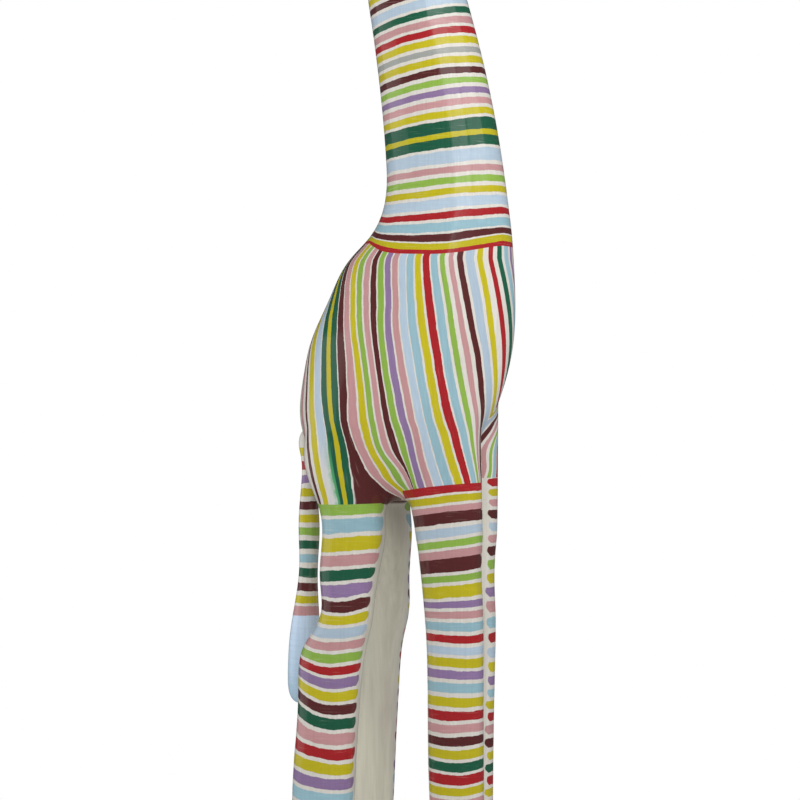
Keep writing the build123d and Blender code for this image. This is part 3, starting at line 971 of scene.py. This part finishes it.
def studio_floor():
    """A round pale floor that fades to white away from the statue, and is dim in reflections."""
    mesh = bpy.data.meshes.new("studio_floor")
    build = bmesh.new()
    bmesh.ops.create_circle(build, cap_ends=True, segments=96, radius=FLOOR_RADIUS)
    build.to_mesh(mesh)
    build.free()
    floor = bpy.data.objects.new("studio_floor", mesh)
    bpy.context.scene.collection.objects.link(floor)
    g = Graph("pale_floor")
    spot = g.position()
    away = g.node("ShaderNodeVectorMath", {0: spot}, operation="LENGTH").outputs["Value"]
    fade = g.step(away, 1.3, 0.6)
    speck = g.between(g.noise(spot, 40, 3), 0.84, 0.90)
    tone = g.node("ShaderNodeCombineColor", {0: speck, 1: speck, 2: speck}).outputs[0]
    matt = g.node("ShaderNodeBsdfPrincipled", {"Base Color": tone, "Roughness": 0.6})
    glow = g.node("ShaderNodeEmission", {"Color": (1, 1, 1, 1), "Strength": 1.0})
    both = g.node("ShaderNodeMixShader", {0: fade, 1: matt.outputs[0], 2: glow.outputs[0]})
    dim = g.node("ShaderNodeEmission", {"Color": (1, 1, 1, 1), "Strength": DIM_REFLECTION})
    glossy = g.node("ShaderNodeLightPath").outputs["Is Glossy Ray"]
    seen = g.node("ShaderNodeMixShader", {0: glossy, 1: both.outputs[0], 2: dim.outputs[0]})
    output = g.node("ShaderNodeOutputMaterial")
    g.tree.links.new(seen.outputs[0], output.inputs[0])
    mesh.materials.append(g.material)


def white_surround():
    """White all round: full white to the camera, softer as light, and dim in reflections."""
    world = bpy.data.worlds.new("white_surround")
    world.use_nodes = True
    tree = world.node_tree
    tree.nodes.clear()
    output = tree.nodes.new("ShaderNodeOutputWorld")
    path = tree.nodes.new("ShaderNodeLightPath")
    last = None
    for seen_by, strength in (
        (None, SURROUND_LIGHT),
        ("Is Glossy Ray", DIM_REFLECTION),
        ("Is Camera Ray", 1.0),
    ):
        light = tree.nodes.new("ShaderNodeBackground")
        light.inputs["Color"].default_value = (1, 1, 1, 1)
        light.inputs["Strength"].default_value = strength
        if last is None:
            last = light.outputs[0]
            continue
        mix = tree.nodes.new("ShaderNodeMixShader")
        tree.links.new(path.outputs[seen_by], mix.inputs[0])
        tree.links.new(last, mix.inputs[1])
        tree.links.new(light.outputs[0], mix.inputs[2])
        last = mix.outputs[0]
    tree.links.new(last, output.inputs[0])
    bpy.context.scene.world = world


def soft_light(name, azimuth, height, distance, width, tall, watts):
    """A soft box that faces the statue, at an azimuth from the -Y side round to +X."""
    light = bpy.data.lights.new(name, "AREA")
    light.shape = "RECTANGLE"
    light.size = width
    light.size_y = tall
    light.energy = watts
    obj = bpy.data.objects.new(name, light)
    bpy.context.scene.collection.objects.link(obj)
    turn = math.radians(azimuth)
    obj.location = (distance * math.sin(turn), -distance * math.cos(turn), height)
    aim = Vector((0, 0, AIM_HEIGHT)) - obj.location
    obj.rotation_euler = aim.to_track_quat("-Z", "Y").to_euler()


def camera():
    """A level camera ahead of the animal's right side, framed on its trunk."""
    data = bpy.data.cameras.new("camera")
    data.sensor_width = 36
    data.lens = CAMERA_DISTANCE / PICTURE_WIDTH * data.sensor_width
    data.shift_x, data.shift_y = CAMERA_SHIFT
    obj = bpy.data.objects.new("camera", data)
    bpy.context.scene.collection.objects.link(obj)
    side = CAMERA_DISTANCE * math.sin(CAMERA_AZIMUTH)
    back = CAMERA_DISTANCE * math.cos(CAMERA_AZIMUTH)
    obj.location = (SUBJECT_SHIFT + side, -back, EYE_LEVEL)
    obj.rotation_euler = (math.pi / 2, 0, CAMERA_AZIMUTH)
    bpy.context.scene.camera = obj


carved_skin()
painted_tail()
ear_material = ear_paint()
horn_material = banded_paint("painted_horn", HORN_BANDS)
for side in ("left", "right"):
    painted_ear(side, ear_material)
    painted_horn(side, horn_material)
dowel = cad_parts["tail_dowel"]
dowel.material_slots[0].link = "OBJECT"
dowel.material_slots[0].material = bare_wood()

studio_floor()
white_surround()
for box in SOFT_BOXES:
    soft_light(*box)
camera()
bpy.context.scene.view_settings.view_transform = "Standard"
